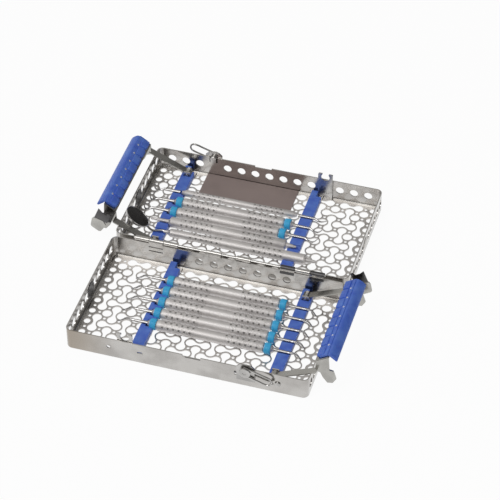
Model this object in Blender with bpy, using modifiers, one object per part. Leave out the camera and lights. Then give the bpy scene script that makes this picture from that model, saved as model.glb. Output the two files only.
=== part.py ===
"""Perforated steel instrument cassette, lying open, with ten dental instruments in it."""

import math

import bmesh
import bpy
from mathutils import Matrix, Vector

mm = 0.001

# Trays: base and lid are the same pressing, hinged back to back
tray_length = 203.2 * mm
tray_depth = 116.84 * mm
tray_height = 20.3 * mm
sheet = 0.9 * mm
corner_radius = 5.0 * mm
fold_radius = 1.4 * mm
floor_border = 1.9 * mm
play = 0.3 * mm  # gap kept between pieces that touch

# Perforated floor: a square grid of round holes, most of them joined in pairs
grid = 6.35 * mm
hole_radius = 3.95 * mm
edge_hole_radius = 2.8 * mm
neck_width = 2.6 * mm
lobe_angles = (-45, 45)  # corners of a slot's end, about the middle of its round
square_reach = 1.2  # corner of a round hole drawn as a square, against its radius

# Holes and notches of the walls
wall_hole_radius = 3.6 * mm
wall_hole_height = 11.0 * mm
wall_hole_pitch = 12.7 * mm
side_hole_pitch = 9.9 * mm
hinge_wall_holes = range(-2, 5)
front_notch = (5.5 * mm, 7.5 * mm, 1.5 * mm)  # centre, half width, depth
rivet_hole = (-64.2 * mm, 12.0 * mm, 2.2 * mm)  # x, height, radius
rail_end_slot = (-37.8 * mm, 11.7 * mm)
lever_slot = (43.4 * mm, 11.7 * mm)
slot_length = 5.0 * mm
slot_height = 1.8 * mm
vent_slits = (12.5 * mm, 16.8 * mm)  # heights of the two slits beside the hinge
vent_slit_x = -63.5 * mm
vent_slit_length = 12.5 * mm
vent_slit_height = 1.2 * mm

# Hinge
hinge_side_gap = 2.0 * mm  # from the hinge line to each wall
rim_gap = 2.4 * mm  # between the two rims when shut
pin_radius = 0.8 * mm
knuckle_radius = 1.75 * mm
knuckle_length = 12.3 * mm
knuckle_pitch = 12.7 * mm
knuckle_places = (-5, -1, 4, 6)  # in half-tray terms, so the two sets interleave
leaf_drop = 2.4 * mm
leaf_rise = 0.5 * mm

# Rails with their silicone strips
rail_places = {"left": -44.4 * mm, "right": 70.9 * mm}
rail_width = 10.0 * mm
rail_plate = 0.7 * mm
rail_lip = 1.4 * mm
rail_end_gap = 2.0 * mm  # clears the foot of the catch
strip_end_length = 7.0 * mm
strip_end_cut = 4.6 * mm

# Instruments
instrument_height = 7.4 * mm  # axis above the table
instrument_pitch = 13.0 * mm
handle_radius = 4.75 * mm
ring_radius = 4.5 * mm
ring_width = 5.4 * mm
seat_radius = 3.5 * mm
ring_place = 48.5 * mm  # ring from the middle of the handle
seat_step = 0.6 * mm
shoulder_length = 3.0 * mm
neck_reach = 68.5 * mm
neck_radius = 1.15 * mm
shoulder_radius = 1.7 * mm
tip_radius = 0.45 * mm
slim_radius = 3.1 * mm
probe_half = 50.5 * mm
wide_neck = 2.6 * mm  # room for a neck beside a thick handle
mirror_tail = -70.5 * mm
mirror_grip = (-59.5 * mm, 59.0 * mm)  # both ends of the handle, from its middle
mirror_taper = (12.0 * mm, 30.0 * mm)
mirror_thin = 3.6 * mm
mirror_from_wall = 99.4 * mm  # middle of its handle from the side wall
mirror_radius = 11.5 * mm
mirror_depth = 2.6 * mm
mirror_glass = 0.8 * mm
mirror_lip = 0.9 * mm
mirror_edge = 0.8 * mm
mirror_centre = (88.6 * mm, 0.0 * mm, 10.2 * mm)  # from the middle of its handle
mirror_facing = (-0.555, -0.247, 0.794)
sides = 8

# Hold-down bars
bar_axis = (rail_places["right"], 7.7 * mm)
bar_half_length = 46.0 * mm
bar_to_middle_row = 40.0 * mm  # from the bar's end to the middle instrument
bar_eye = 2.9 * mm
arm_step = 1.4 * mm  # middle of an arm beyond the bar's end
arm_width = 6.4 * mm
arm_thickness = 1.0 * mm
bar_sheet = 1.2 * mm
bar_pin_radius = 1.5 * mm
pin_overhang = 0.8 * mm
arm_overhang = 4.4 * mm  # beyond the side wall
pad_thickness = 2.0 * mm
leaf_root = 6.5 * mm
fingers = 8
finger_depth = 4.2 * mm

# Latches and their catches
latch_x = 50.8 * mm
lever_rest = {"base": math.radians(-18), "lid": math.radians(18)}
cam_radius = 3.5 * mm
cam_flat = 2.5 * mm
cam_drop = 2.6 * mm  # below the hinge line
catch_mouth = 2.8 * mm
catch_radius = 3.8 * mm
catch_width = 13.0 * mm
catch_rise = 7.5 * mm
catch_sheet = 1.2 * mm
catch_gap = 0.4 * mm
bracket_width = 15.0 * mm
bracket_rise = 5.0 * mm
bracket_sheet = 1.2 * mm
bracket_low = 8.0 * mm
bracket_corner = 3.0 * mm
cap_thickness = 1.0 * mm
lever_length = 23.0 * mm
lever_wire = 0.8 * mm
lever_half_width = 4.0 * mm
lever_tail = 2.5 * mm

# Cover plate on the lid's floor
plate_x = (-27.0 * mm, 56.0 * mm)
plate_depth = 30.5 * mm
plate_gap = 0.6 * mm
plate_sheet = 1.0 * mm

half_length = tray_length / 2
half_depth = tray_depth / 2
hinge_height = tray_height + rim_gap / 2
inner_length = half_length - sheet
inner_depth = half_depth - sheet
panel_x = inner_length - floor_border
panel_y = inner_depth - floor_border
columns = 2 * int((panel_x - edge_hole_radius * square_reach) / grid) + 1
rows = 2 * int((panel_y - hole_radius * square_reach) / grid) + 1
front_holes = int((half_length - corner_radius - wall_hole_radius) / wall_hole_pitch)
side_holes = int((half_depth - corner_radius - wall_hole_radius) / side_hole_pitch)
cam_height = hinge_height - cam_drop
notch_height = 2 * hinge_height - cam_height
strip_base = sheet + rail_plate
arm_place = bar_half_length + arm_step
instrument_middle = bar_half_length - bar_to_middle_row
ring_inner = ring_place - ring_width / 2
ring_outer = ring_place + ring_width / 2


def clear_scene():
    for thing in list(bpy.data.objects):
        bpy.data.objects.remove(thing, do_unlink=True)


def collection(name, hidden=False):
    group = bpy.data.collections.new(name)
    bpy.context.scene.collection.children.link(group)
    group.hide_render = hidden
    return group


def material(name, color, roughness, metallic):
    """Principled material in one plain finish."""
    finish = bpy.data.materials.new(name)
    finish.use_nodes = True
    shader = finish.node_tree.nodes["Principled BSDF"]
    shader.inputs["Base Color"].default_value = (*color, 1.0)
    shader.inputs["Roughness"].default_value = roughness
    shader.inputs["Metallic"].default_value = metallic
    return finish


def finished(bm, name="shape"):
    """Turn a bmesh into a mesh with its faces pointing out."""
    bmesh.ops.recalc_face_normals(bm, faces=bm.faces)
    mesh = bpy.data.meshes.new(name)
    bm.to_mesh(mesh)
    bm.free()
    return mesh


def box(x, y, z):
    """Box between three pairs of limits."""
    size = Matrix.Diagonal((x[1] - x[0], y[1] - y[0], z[1] - z[0], 1.0))
    centre = Matrix.Translation(((x[0] + x[1]) / 2, (y[0] + y[1]) / 2, (z[0] + z[1]) / 2))
    bm = bmesh.new()
    bmesh.ops.create_cube(bm, size=1.0, matrix=centre @ size)
    return finished(bm)


def rounded_box(half_x, half_y, z, radius, fold=0.0):
    """Box with round upright corners and, where asked, a round lower edge."""
    bm = bmesh.new()
    size = Matrix.Diagonal((2 * half_x, 2 * half_y, z[1] - z[0], 1.0))
    bmesh.ops.create_cube(bm, size=1.0, matrix=Matrix.Translation((0, 0, (z[0] + z[1]) / 2)) @ size)
    upright = [e for e in bm.edges if abs(e.verts[0].co.z - e.verts[1].co.z) > sheet / 2]
    bmesh.ops.bevel(bm, geom=upright, offset=radius, segments=3, profile=0.5, affect="EDGES")
    if fold:
        low = [e for e in bm.edges if max(v.co.z for v in e.verts) < z[0] + fold / 10]
        bmesh.ops.bevel(bm, geom=low, offset=fold, segments=2, profile=0.5, affect="EDGES")
    return finished(bm)


def rod(start, end, radius, count=sides, turn=0.0):
    """Straight round bar between two points."""
    start = Vector(start)
    along = Vector(end) - start
    bm = bmesh.new()
    face = Matrix.Translation(start + along / 2) @ along.to_track_quat("Z", "Y").to_matrix().to_4x4()
    bmesh.ops.create_cone(bm, cap_ends=True, segments=count, radius1=radius, radius2=radius,
                          depth=along.length, matrix=face @ Matrix.Rotation(turn, 4, "Z"))
    return finished(bm)


def merged(*meshes):
    """One mesh of several that stay apart."""
    bm = bmesh.new()
    for mesh in meshes:
        bm.from_mesh(mesh)
    return finished(bm)


def moved(mesh, matrix):
    copy = mesh.copy()
    copy.transform(matrix)
    return copy


def evaluated(thing):
    """Mesh of an object with its modifiers or its curve applied; the object goes."""
    helpers.objects.link(thing)
    graph = bpy.context.evaluated_depsgraph_get()
    mesh = bpy.data.meshes.new_from_object(thing.evaluated_get(graph))
    bpy.data.objects.remove(thing, do_unlink=True)
    return mesh


def carved(mesh, joins=(), cuts=()):
    """The mesh with some shapes united to it and others taken out of it."""
    body = bpy.data.objects.new("body", mesh)
    tools = []
    for operation, shapes in (("UNION", joins), ("DIFFERENCE", cuts)):
        for shape in shapes:
            tool = bpy.data.objects.new("tool", shape)
            tool.hide_render = True
            tool.display_type = "WIRE"
            helpers.objects.link(tool)
            tools.append(tool)
            step = body.modifiers.new(operation.lower(), "BOOLEAN")
            step.operation = operation
            step.object = tool
    result = evaluated(body)
    for tool in tools:
        bpy.data.objects.remove(tool, do_unlink=True)
    return result


def plate(outline, thickness, holes=()):
    """Flat plate in the XY plane from one outline and any holes, from z = 0 up."""
    curve = bpy.data.curves.new("outline", "CURVE")
    curve.dimensions = "2D"
    curve.fill_mode = "BOTH"
    curve.extrude = thickness / 2
    for points in (outline, *holes):
        spline = curve.splines.new("POLY")
        spline.points.add(len(points) - 1)
        for point, (x, y) in zip(spline.points, points):
            point.co = (x, y, 0.0, 1.0)
        spline.use_cyclic_u = True
    mesh = evaluated(bpy.data.objects.new("plate", curve))
    mesh.transform(Matrix.Translation((0, 0, thickness / 2)))
    bm = bmesh.new()
    bm.from_mesh(mesh)
    bmesh.ops.remove_doubles(bm, verts=bm.verts, dist=0.001 * mm)
    return finished(bm)


def section_xz(outline, y):
    """A plate whose outline is drawn in X and Z, between two limits along Y."""
    upright = Matrix.Translation((0, y[1], 0)) @ Matrix.Rotation(math.radians(90), 4, "X")
    return moved(plate(outline, y[1] - y[0]), upright)


def wire(points, radius, radii=None):
    """Round wire through points, six-sided, with its own radius at each where asked."""
    curve = bpy.data.curves.new("wire", "CURVE")
    curve.dimensions = "3D"
    curve.bevel_depth = radius
    curve.bevel_resolution = 1
    curve.use_fill_caps = True
    spline = curve.splines.new("POLY")
    spline.points.add(len(points) - 1)
    for number, place in enumerate(points):
        spline.points[number].co = (*place, 1.0)
        spline.points[number].radius = radii[number] / radius if radii else 1.0
    mesh = evaluated(bpy.data.objects.new("wire", curve))
    bm = bmesh.new()
    bm.from_mesh(mesh)
    bmesh.ops.remove_doubles(bm, verts=bm.verts, dist=0.001 * mm)
    return finished(bm)


def turned(profile, closed=False, count=sides):
    """Solid turned about the X axis from (place along X, radius) points."""
    bm = bmesh.new()
    points = [bm.verts.new((radius, 0.0, -along)) for along, radius in profile]
    for first, second in zip(points, points[1:]):
        bm.edges.new((first, second))
    if closed:
        bm.edges.new((points[-1], points[0]))
    mesh = bpy.data.meshes.new("profile")
    bm.to_mesh(mesh)
    bm.free()
    lathe = bpy.data.objects.new("lathe", mesh)
    screw = lathe.modifiers.new("screw", "SCREW")
    screw.steps = screw.render_steps = count
    screw.use_merge_vertices = True
    screw.merge_threshold = 0.01 * mm
    mesh = evaluated(lathe)
    mesh.transform(Matrix.Rotation(math.radians(-90), 4, "Y"))
    bm = bmesh.new()
    bm.from_mesh(mesh)
    return finished(bm)


def empty(name, location, turn=0.0, parent=None):
    guide = bpy.data.objects.new(name, None)
    guide.location = location
    guide.rotation_euler = (0.0, 0.0, turn)
    guide.parent = parent
    guide.hide_render = True
    helpers.objects.link(guide)
    return guide


def piece(name, mesh, finish, parent, location=(0.0, 0.0, 0.0), tilt=(0.0, 0.0, 0.0)):
    """Named piece of the cassette, placed under its tray or its pivot."""
    mesh = mesh.copy()
    mesh.name = name
    mesh.materials.clear()
    mesh.materials.append(finish)
    mesh.shade_smooth()
    mesh.set_sharp_from_angle(angle=math.radians(35))
    thing = bpy.data.objects.new(name, mesh)
    thing.parent = parent
    thing.location = location
    thing.rotation_euler = tilt
    cassette.objects.link(thing)
    return thing


def lobe(centre, axis, radius):
    """Corners of one round end of a slot, as (along, across) pairs."""
    reach = radius / math.cos(math.radians(lobe_angles[1]) / 2)
    return [(axis * (centre + reach * math.cos(math.radians(a))),
             axis * reach * math.sin(math.radians(a))) for a in lobe_angles]


def floor_holes():
    """Outlines of the floor's perforation: paired rounds with a neck, and single rounds."""
    pair = lobe(grid, 1, hole_radius) + [(0.0, neck_width / 2)]
    pair += lobe(grid, -1, hole_radius) + [(0.0, -neck_width / 2)]
    joined = set()
    outlines = []
    for column in range(1, columns + 1):
        for row in range(1, rows + 1):
            if column % 2 or not row % 2:
                continue
            across = (column // 2 + (row - 1) // 2) % 2 == 0
            ends = [(column - 1, row), (column + 1, row)] if across else [(column, row - 1), (column, row + 1)]
            if any(c in (1, columns) or not 1 <= r <= rows for c, r in ends):
                continue
            joined.update(ends)
            x, y = grid_place(column, row)
            outlines.append([(x + u, y + v) if across else (x - v, y + u) for u, v in pair])
    for column in range(1, columns + 1):
        for row in range(1, rows + 1):
            if (column + row) % 2 or (column, row) in joined:
                continue
            radius = edge_hole_radius if column in (1, columns) else hole_radius
            x, y = grid_place(column, row)
            corner = radius * square_reach
            outlines.append([(x + corner, y), (x, y + corner), (x - corner, y), (x, y - corner)])
    return outlines


def grid_place(column, row):
    return (column - (columns + 1) / 2) * grid, (row - (rows + 1) / 2) * grid


def floor_panel():
    edge = [(-panel_x, -panel_y), (panel_x, -panel_y), (panel_x, panel_y), (-panel_x, panel_y)]
    return plate(edge, sheet, floor_holes())


def wall_peg(x, z, radius, wall_y):
    """Cutter for a round hole through a front or hinge wall."""
    return rod((x, wall_y - 2 * sheet, z), (x, wall_y + 2 * sheet, z), radius, 6)


def wall_slot(x, z, length, height, wall_y):
    return box((x - length / 2, x + length / 2), (wall_y - 2 * sheet, wall_y + 2 * sheet),
               (z - height / 2, z + height / 2))


def wall_frame(half):
    """Walls, folded lower edge and floor border of one tray, with the half's own holes."""
    above = tray_height + sheet
    shell = rounded_box(half_length, half_depth, (0.0, tray_height), corner_radius, fold_radius)
    hollow = rounded_box(inner_length, inner_depth, (sheet, above), corner_radius - sheet)
    opening = box((-panel_x, panel_x), (-panel_y, panel_y), (-sheet, 2 * sheet))
    hinge_wall, front_wall = half_depth - sheet / 2, -half_depth + sheet / 2
    pegs = [wall_peg(n * wall_hole_pitch, wall_hole_height, wall_hole_radius, hinge_wall)
            for n in hinge_wall_holes]
    pegs += [wall_slot(vent_slit_x, z, vent_slit_length, vent_slit_height, hinge_wall) for z in vent_slits]
    for step in range(-side_holes, side_holes + 1):
        y = step * side_hole_pitch
        if step == 0:
            continue
        for side in (-1, 1):
            x = side * (half_length - sheet / 2)
            pegs.append(rod((x - 2 * sheet, y, wall_hole_height), (x + 2 * sheet, y, wall_hole_height),
                            wall_hole_radius, 6))
    for side in (-1, 1):
        x = side * half_length
        pegs.append(rod((x - sheet / 2, 0, wall_hole_height), (x + sheet / 2, 0, wall_hole_height),
                        wall_hole_radius, 6))
    if half == "base":
        pegs.append(wall_peg(*rivet_hole, front_wall))
        pegs += [wall_slot(*place, slot_length, slot_height, front_wall)
                 for place in (rail_end_slot, lever_slot)]
    else:
        pegs += [wall_peg(n * wall_hole_pitch, wall_hole_height, wall_hole_radius, front_wall)
                 for n in range(-front_holes, front_holes + 1)
                 if abs(n * wall_hole_pitch - latch_x) > cam_radius]
    centre, half_width, depth = front_notch
    pegs.append(box((centre - half_width, centre + half_width), (front_wall - sheet, front_wall + sheet),
                    (tray_height - depth, above)))
    pegs.append(box((latch_x - cam_radius - play, latch_x + cam_radius + play),
                    (front_wall - sheet, front_wall + sheet), (cam_height - cam_radius - play, above)))
    tray = carved(shell, cuts=[hollow, opening, merged(*pegs)])
    return carved(tray, joins=[merged(*[knuckle(place) for place in knuckle_places])])


def knuckle(place):
    """Hinge knuckle curled up from the hinge wall's rim, bored for the pin."""
    y = half_depth + hinge_side_gap
    x = (place * knuckle_pitch - knuckle_length / 2, place * knuckle_pitch + knuckle_length / 2)
    turn = math.pi / sides
    barrel = rod((x[0], y, hinge_height), (x[1], y, hinge_height), knuckle_radius, turn=turn)
    leaf = box(x, (half_depth - sheet * 0.8, y - pin_radius), (hinge_height - leaf_drop, hinge_height + leaf_rise))
    bore = rod((x[0] - sheet, y, hinge_height), (x[1] + sheet, y, hinge_height), pin_radius + play, turn=turn)
    return carved(barrel, joins=[leaf], cuts=[bore])


def rail_channel(lugs):
    """Pressed steel channel under a strip, with lugs for the hold-down bar's pins."""
    edge = rail_width / 2
    end = inner_depth - rail_end_gap
    top = sheet + rail_lip
    outline = [(-edge, sheet), (edge, sheet), (edge, top), (edge - rail_plate, top),
               (edge - rail_plate, strip_base), (-edge + rail_plate, strip_base),
               (-edge + rail_plate, top), (-edge, top)]
    channel = section_xz(outline, (-end, end))
    if not lugs:
        return channel
    ears, bores = [], []
    for side in (-1, 1):
        y = lug_limits(side)
        ears.append(box((-bar_eye, bar_eye), y, (sheet + rail_plate / 2, bar_axis[1] + bar_eye)))
        bores.append(rod((0, y[0] - sheet, bar_axis[1]), (0, y[1] + sheet, bar_axis[1]), bar_pin_radius + play,
                         turn=math.pi / sides))
    return carved(channel, joins=[merged(*ears)], cuts=[merged(*bores)])


def lug_limits(side):
    """Limits along Y of the lug that stands inside one arm of the hold-down bar."""
    outer = arm_place - arm_width / 2 - play
    return sorted((side * outer, side * (outer - bar_sheet)))


def bar_pin_limits(side):
    """Limits along Y of the pin through a lug and the eye of an arm."""
    inner = arm_place - arm_width / 2 - play - bar_sheet - pin_overhang
    outer = arm_place + arm_width / 2 + pin_overhang
    return sorted((side * inner, side * outer))


def instrument_rows():
    return [instrument_middle + instrument_pitch * step for step in range(-2, 3)]


def rail_strip(rail_x, carried, lugs):
    """Silicone strip in a channel, with a slot or a pocket for each instrument it carries."""
    edge = rail_width / 2
    inside = edge - rail_plate - play
    end = inner_depth - rail_end_gap
    low = strip_base + play
    lip = sheet + rail_lip + play
    top = instrument_height
    upper = box((-edge, edge), (-end, end), (lip, top))
    stem = box((-inside, inside), (play - end, end - play), (low, lip + play))
    cuts = []
    for row, (kind, middle) in zip(instrument_rows(), carried):
        for first, last, radius in slot_spans[kind]:
            start = max(middle + first - play - rail_x, -edge - sheet)
            stop = min(middle + last + play - rail_x, edge + sheet)
            if stop - start < sheet:
                continue
            reach = (radius + play) / math.cos(math.pi / sides)
            cuts.append(rod((start, row, top), (stop, row, top), reach, turn=math.pi / sides))
    for side in (-1, 1):
        if lugs:
            y = bar_pin_limits(side)
            cuts.append(box((-bar_eye - play, bar_eye + play), (y[0] - play, y[1] + play), (0.0, top + sheet)))
        x = sorted((side * (edge - strip_end_cut), side * (edge + sheet)))
        y = sorted((side * (end - strip_end_length), side * (end + sheet)))
        cuts.append(box(x, y, (0.0, top + sheet)))
    return carved(upper, joins=[stem], cuts=cuts)


def scaler_handle():
    """Double-ended scaler: handle with a ring seat at each end, necks and bent tips."""
    seat = ring_inner - play
    shoulder = ring_outer + play
    half = [(seat - seat_step, handle_radius), (seat, seat_radius), (shoulder, seat_radius),
            (shoulder + 2.0 * mm, shoulder_radius), (neck_reach, neck_radius), (neck_reach, 0.0)]
    profile = [(-x, r) for x, r in reversed(half)] + half
    tips = merged(bent_tip(-1, [(3.5, 1.5, -1.0), (7.0, 0.0, -2.5), (10.0, -3.5, -1.5)]),
                  bent_tip(1, [(3.0, 1.2, -1.0), (6.5, -0.5, -2.6), (8.5, -3.5, -1.2)]))
    return carved(turned(profile), joins=[tips])


def ring():
    """Coloured silicone band that sits on a handle's seat."""
    half = ring_width / 2
    return turned([(-half, seat_radius + play), (-half, ring_radius), (half, ring_radius),
                   (half, seat_radius + play)], closed=True)


def slim_handle():
    """Slim plain explorer with a bent tip at each end."""
    half = [(ring_place, slim_radius), (ring_place + shoulder_length, shoulder_radius),
            (neck_reach, neck_radius), (neck_reach, 0.0)]
    profile = [(-x, r) for x, r in reversed(half)] + half
    right = bent_tip(1, [(4.0, 1.0, -1.0), (8.5, -1.5, -2.0), (9.5, -5.0, -1.0)])
    left = bent_tip(-1, [(4.0, 1.2, -1.0), (10.0, -2.5, -2.0)])
    return carved(turned(profile), joins=[merged(left, right)])


def bent_tip(side, bends):
    """Thin wire from a neck's end through bends given in millimetres beyond it."""
    points = [(side * (neck_reach - 1.5 * mm), 0.0, 0.0)]
    points += [(side * (neck_reach + x * mm), y * mm, z * mm) for x, y, z in bends]
    radii = [neck_radius * 0.9]
    radii += [neck_radius * 0.9 + (tip_radius - neck_radius * 0.9) * (n + 1) / len(bends) for n in range(len(bends))]
    return wire(points, neck_radius, radii)


def probe_handle():
    """Thick plain probe: a long neck at one end and a short cone at the other."""
    cone = -probe_half - 10 * mm
    profile = [(cone, 0.0), (cone, 1.0 * mm), (-probe_half - 1.5 * mm, wide_neck),
               (-probe_half, handle_radius), (probe_half, handle_radius), (probe_half + 2 * mm, 1.9 * mm),
               (neck_reach, 1.0 * mm), (neck_reach, 0.0)]
    return turned(profile)


def mirror_handle():
    """Mouth mirror's handle, thicker away from the head, with the neck that bends up to the head."""
    back, front = mirror_grip
    end = front + 6 * mm
    profile = [(mirror_tail, 0.0), (mirror_tail, 1.0 * mm), (back - 1 * mm, 2.4 * mm), (back, handle_radius),
               (mirror_taper[0], handle_radius), (mirror_taper[1], mirror_thin), (front, mirror_thin),
               (front + 2 * mm, 1.6 * mm), (end, 1.3 * mm), (end, 0.0)]
    centre, facing = Vector(mirror_centre), Vector(mirror_facing).normalized()
    inward = (Vector((-1, 0, 0)) - facing * facing.dot(Vector((-1, 0, 0)))).normalized()
    cup = centre + inward * (mirror_radius + play)
    points = [(end - 1.5 * mm, 0, 0), (end + 2 * mm, 0, 0.6 * mm), cup + inward * 5 * mm, cup]
    neck = wire(points, 1.1 * mm, [1.1 * mm, 1.1 * mm, 1.0 * mm, 0.9 * mm])
    return carved(turned(profile), joins=[neck])


def mirror_head():
    """Cup of the mouth mirror, open on the side that holds the glass."""
    bed = mirror_depth - mirror_glass - 2 * play
    lip = mirror_radius - mirror_lip
    return turned([(0.0, 0.0), (0.0, mirror_radius - mirror_edge), (mirror_edge, mirror_radius),
                   (mirror_depth, mirror_radius), (mirror_depth, lip), (bed, lip), (bed, 0.0)], count=16)


def mirror_disc():
    """Glass of the mouth mirror, set just below its rim."""
    low = mirror_depth - mirror_glass - play
    rim = mirror_radius - mirror_lip - play
    return turned([(low, 0.0), (low, rim), (low + mirror_glass, rim), (low + mirror_glass, 0.0)], count=16)


def from_rim(points):
    """Millimetres beyond the side wall and above the hinge line, as distances from the bar's axis."""
    return [(half_length + x * mm - bar_axis[0], hinge_height + z * mm - bar_axis[1]) for x, z in points]


def bar_frame():
    """Steel frame of a hold-down bar: two arms, a back plate and an end plate with a tab at each end."""
    half = bar_half_length
    spine = section_xz(from_rim(((2.4, 11.1), (12.6, 17.7), (13.25, 16.7), (3.05, 10.1))),
                       (-half + bar_sheet / 3, half - bar_sheet / 3))
    end_outline = from_rim(((2.3, 0.4), (6.5, -1.0), (8.7, -5.9), (12.4, -10.7), (16.8, -9.9), (19.5, -5.0),
                            (17.1, 3.0), (13.7, 3.5), (12.9, 17.15), (2.75, 10.6)))
    slope = (hinge_height - bar_axis[1]) / (half_length - sheet / 2 - bar_axis[0])
    rise = arm_thickness / 2 * math.hypot(1.0, slope)
    far = half_length + arm_overhang - bar_axis[0]
    arm_outline = [(0.0, -rise), (far, far * slope - rise), (far, far * slope + rise), (0.0, rise)]
    for side in (-1, 1):
        y = sorted((side * half, side * (half - bar_sheet)))
        wide = (side * arm_place - arm_width / 2, side * arm_place + arm_width / 2)
        eye = rod((0, wide[0], 0), (0, wide[1], 0), bar_eye, turn=math.pi / sides)
        bore = rod((0, wide[0] - sheet, 0), (0, wide[1] + sheet, 0), bar_pin_radius + play, turn=math.pi / sides)
        strip = section_xz(arm_outline, (wide[0] + play / 3, wide[1] - play / 3))
        arm = carved(strip, joins=[eye], cuts=[bore])
        spine = carved(spine, joins=[section_xz(end_outline, y), arm])
    return spine


def bar_pad():
    """Silicone pad of a hold-down bar: a fingered leaf on the back plate and a plain leaf beyond its edge."""
    end = bar_half_length - bar_sheet - play
    pitch = 2 * end / fingers
    edge = [(end, 0.0), (-end, 0.0)]
    for number in range(fingers):
        start = -end + number * pitch
        for place, depth in ((0.0, 0.2), (0.22, 0.9), (0.5, 1.0), (0.78, 0.9)):
            edge.append((start + place * pitch, leaf_root + depth * finger_depth))
    edge.append((end, leaf_root + 0.2 * finger_depth))
    near, far = (Vector(place) for place in from_rim(((12.44, 17.95), (2.24, 11.35))))
    down = (far - near).normalized()
    lie = Matrix(((0, down.x, down.y, near.x), (1, 0, 0, 0), (0, down.y, -down.x, near.y), (0, 0, 0, 1)))
    plain = section_xz(from_rim(((10.8, 17.7), (13.0, 19.5), (19.6, 14.4), (18.4, 12.5), (13.8, 16.4),
                                 (12.8, 18.1))), (-end, end))
    return carved(moved(plate(edge, pad_thickness), lie), joins=[plain])


def latch_bracket():
    """Plate outside the front wall that carries the latch, pierced for its cam."""
    half = bracket_width / 2
    top = tray_height + bracket_rise
    cut = bracket_corner
    outline = [(-half, bracket_low), (half, bracket_low), (half, top - cut), (half - cut, top),
               (-half + cut, top), (-half, top - cut)]
    y = -half_depth - play
    bore = rod((0, y - 2 * bracket_sheet, cam_height), (0, y + bracket_sheet, cam_height), cam_radius + play,
               turn=math.pi / sides)
    return carved(section_xz(outline, (y - bracket_sheet, y)), cuts=[bore])


def latch_cam():
    """Cam with two flats that turns in the catch, the neck that the lever grips and its cap."""
    inner = inner_depth - catch_gap - catch_sheet - play
    face = half_depth + play + bracket_sheet
    neck_end = face + 2 * play + 2 * lever_wire
    neck = lever_half_width - lever_wire - play
    cap = lever_half_width + lever_wire
    shaft = turned([(inner, 0.0), (inner, cam_radius), (face, cam_radius), (face, neck), (neck_end, neck),
                    (neck_end, cap), (neck_end + cap_thickness, cap), (neck_end + cap_thickness, 0.0)])
    far = 2 * cam_radius
    flats = [box((inner - sheet, face - play / 3), sorted((side * cam_flat, side * far)), (-far, far))
             for side in (-1, 1)]
    return moved(carved(shaft, cuts=[merged(*flats)]), Matrix.Rotation(math.radians(-90), 4, "Z"))


def latch_lever():
    """Hairpin wire lever that straddles the cam's neck, pointing along X."""
    y = -(half_depth + bracket_sheet + 2 * play + lever_wire)
    reach = lever_length - lever_half_width
    path = [(-lever_tail, y, lever_half_width)]
    for step in range(5):
        turn = math.radians(90 - 45 * step)
        path.append((reach + lever_half_width * math.cos(turn), y, lever_half_width * math.sin(turn)))
    path.append((-lever_tail, y, -lever_half_width))
    return wire(path, lever_wire)


def catch():
    """Plate inside the front wall with the open-mouthed round notch that takes the other half's cam."""
    half = catch_width / 2
    top = tray_height + catch_rise
    mouth = math.asin(catch_mouth / catch_radius)
    outline = [(-half, sheet), (half, sheet), (half, top), (catch_mouth, top)]
    for step in range(7):
        turn = math.pi / 2 - mouth - 2 * (math.pi - mouth) * step / 6
        outline.append((catch_radius * math.cos(turn), notch_height + catch_radius * math.sin(turn)))
    outline += [(-catch_mouth, top), (-half, top)]
    y = -inner_depth + catch_gap
    return section_xz(outline, (y, y + catch_sheet))


def cover_plate():
    y = -inner_depth + plate_gap
    return box(plate_x, (y, y + plate_depth), (sheet, sheet + plate_sheet))


clear_scene()
cassette = collection("instrument_cassette")
helpers = collection("guides_and_cutters", hidden=True)

satin_steel = material("satin_steel", (0.52, 0.50, 0.46), 0.32, 1.0)
polished_steel = material("polished_steel", (0.62, 0.60, 0.57), 0.15, 1.0)
handle_steel = material("handle_steel", (0.58, 0.56, 0.53), 0.38, 1.0)
blue_silicone = material("blue_silicone", (0.048, 0.098, 0.479), 0.45, 0.0)
sky_silicone = material("sky_silicone", (0.022, 0.305, 0.617), 0.4, 0.0)
dark_plate = material("dark_plate", (0.23, 0.19, 0.17), 0.25, 1.0)
mirror_black = material("mirror_black", (0.026, 0.024, 0.023), 0.12, 0.0)

clear_through = tray_length
slot_spans = {
    "scaler": [(-ring_outer, -ring_inner, ring_radius), (ring_inner, ring_outer, ring_radius),
               (-ring_outer - shoulder_length, -ring_outer, seat_radius),
               (ring_outer, ring_outer + shoulder_length, seat_radius),
               (-clear_through, clear_through, shoulder_radius)],
    "explorer": [(-ring_place - shoulder_length, ring_place + shoulder_length, slim_radius),
                 (-clear_through, clear_through, shoulder_radius)],
    "probe": [(-probe_half - 1.5 * mm, probe_half + 1.5 * mm, handle_radius),
              (-clear_through, clear_through, wide_neck)],
    "mirror": [(mirror_grip[0] - 1 * mm, mirror_grip[1] + 2.5 * mm, handle_radius),
               (-clear_through, clear_through, wide_neck)],
}
contents = {
    "base": [("scaler", 9.0 * mm), ("scaler", 8.5 * mm), ("scaler", 8.0 * mm), ("scaler", 7.5 * mm),
             ("scaler", 7.0 * mm)],
    "lid": [("explorer", 16.0 * mm), ("scaler", 17.0 * mm), ("scaler", 18.0 * mm), ("probe", 14.3 * mm),
            ("mirror", half_length - mirror_from_wall)],
}

panel_mesh = floor_panel()
catch_mesh = catch()
bracket_mesh = latch_bracket()
cam_mesh = latch_cam()
lever_mesh = latch_lever()
frame_mesh = bar_frame()
pad_mesh = bar_pad()
channel_mesh = {"left": rail_channel(lugs=False), "right": rail_channel(lugs=True)}
ring_mesh = ring()
handle_mesh = {"scaler": scaler_handle(), "explorer": slim_handle(), "probe": probe_handle(),
               "mirror": mirror_handle()}


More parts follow.
